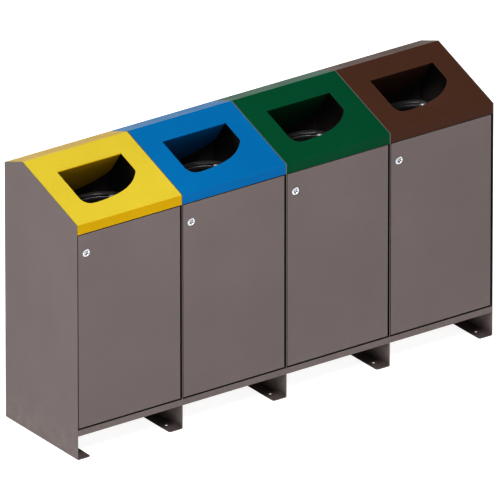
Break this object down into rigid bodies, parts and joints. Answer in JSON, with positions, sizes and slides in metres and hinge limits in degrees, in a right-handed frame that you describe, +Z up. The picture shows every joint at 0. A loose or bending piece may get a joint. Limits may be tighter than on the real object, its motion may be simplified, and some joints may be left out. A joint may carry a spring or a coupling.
{
  "type": "recycling bin station",
  "caption": "Row of joined recycling bins in folded sheet steel with sloped coloured lids, throw openings, lockable doors that carry bag hoops, and feet folded for ground anchors",
  "frame": {"origin": "centre of the overall box on the ground plane", "axes": "+X to the right along the row, +Y towards the back, +Z up; the doors face -Y"},
  "size_m": [1.751, 0.433, 1],
  "materials": {
    "frame_paint": "warm grey textured powder coat",
    "lid_yellow": "semi-gloss yellow powder coat",
    "lid_blue": "semi-gloss blue powder coat",
    "lid_green": "semi-gloss dark green powder coat",
    "lid_brown": "semi-gloss dark brown powder coat",
    "zinc_steel": "zinc-plated steel",
    "hoop_steel": "galvanised flat bar",
    "lock_chrome": "polished chrome on zinc die casting",
    "bush_brass": "turned brass",
    "buffer_rubber": "matt black rubber"
  },
  "bodies": {
    "root": {"side_panel_1": "frame_paint", "side_panel_2": "frame_paint", "side_panel_3": "frame_paint", "side_panel_4": "frame_paint", "side_panel_5": "frame_paint", "base_tray_1": "frame_paint", "base_tray_2": "frame_paint", "base_tray_3": "frame_paint", "base_tray_4": "frame_paint", "back_panel_1": "frame_paint", "back_panel_2": "frame_paint", "back_panel_3": "frame_paint", "back_panel_4": "frame_paint", "lid_1": "lid_yellow", "lid_2": "lid_blue", "lid_3": "lid_green", "lid_4": "lid_brown", "pivot_brackets": "zinc_steel", "pivot_pins": "zinc_steel", "strike_brackets": "zinc_steel", "door_buffers": "buffer_rubber", "frame_screws": "zinc_steel", "lid_screws": "zinc_steel", "bracket_screws": "zinc_steel"},
    "door_body_1": {"door_1": "frame_paint", "pivot_bushes_1": "bush_brass", "bag_frame_1": "hoop_steel", "hoop_screws_1": "zinc_steel", "lock_housing_1": "lock_chrome", "lock_nut_1": "zinc_steel"},
    "lock_body_1": {"lock_core_1": "zinc_steel", "lock_cam_1": "zinc_steel", "cam_screw_1": "zinc_steel"},
    "door_body_2": {"door_2": "frame_paint", "pivot_bushes_2": "bush_brass", "bag_frame_2": "hoop_steel", "hoop_screws_2": "zinc_steel", "lock_housing_2": "lock_chrome", "lock_nut_2": "zinc_steel"},
    "lock_body_2": {"lock_core_2": "zinc_steel", "lock_cam_2": "zinc_steel", "cam_screw_2": "zinc_steel"},
    "door_body_3": {"door_3": "frame_paint", "pivot_bushes_3": "bush_brass", "bag_frame_3": "hoop_steel", "hoop_screws_3": "zinc_steel", "lock_housing_3": "lock_chrome", "lock_nut_3": "zinc_steel"},
    "lock_body_3": {"lock_core_3": "zinc_steel", "lock_cam_3": "zinc_steel", "cam_screw_3": "zinc_steel"},
    "door_body_4": {"door_4": "frame_paint", "pivot_bushes_4": "bush_brass", "bag_frame_4": "hoop_steel", "hoop_screws_4": "zinc_steel", "lock_housing_4": "lock_chrome", "lock_nut_4": "zinc_steel"},
    "lock_body_4": {"lock_core_4": "zinc_steel", "lock_cam_4": "zinc_steel", "cam_screw_4": "zinc_steel"}
  },
  "joints": [
    {"name": "door_1_swing", "type": "hinge", "parent": "root", "child": "door_body_1", "pos_m": [-0.4525, -0.2035, 0.48], "axis": [0, 0, 1], "range_deg": [0, 100]},
    {"name": "lock_1_turn", "type": "hinge", "parent": "door_body_1", "child": "lock_body_1", "pos_m": [-0.8365, -0.2015, 0.7715], "axis": [0, 1, 0], "range_deg": [0, 90]},
    {"name": "door_2_swing", "type": "hinge", "parent": "root", "child": "door_body_2", "pos_m": [-0.0155, -0.2035, 0.48], "axis": [0, 0, 1], "range_deg": [0, 100]},
    {"name": "lock_2_turn", "type": "hinge", "parent": "door_body_2", "child": "lock_body_2", "pos_m": [-0.3995, -0.2015, 0.7715], "axis": [0, 1, 0], "range_deg": [0, 90]},
    {"name": "door_3_swing", "type": "hinge", "parent": "root", "child": "door_body_3", "pos_m": [0.4215, -0.2035, 0.48], "axis": [0, 0, 1], "range_deg": [0, 100]},
    {"name": "lock_3_turn", "type": "hinge", "parent": "door_body_3", "child": "lock_body_3", "pos_m": [0.0375, -0.2015, 0.7715], "axis": [0, 1, 0], "range_deg": [0, 90]},
    {"name": "door_4_swing", "type": "hinge", "parent": "root", "child": "door_body_4", "pos_m": [0.8585, -0.2035, 0.48], "axis": [0, 0, 1], "range_deg": [0, 100]},
    {"name": "lock_4_turn", "type": "hinge", "parent": "door_body_4", "child": "lock_body_4", "pos_m": [0.4745, -0.2015, 0.7715], "axis": [0, 1, 0], "range_deg": [0, 90]}
  ]
}
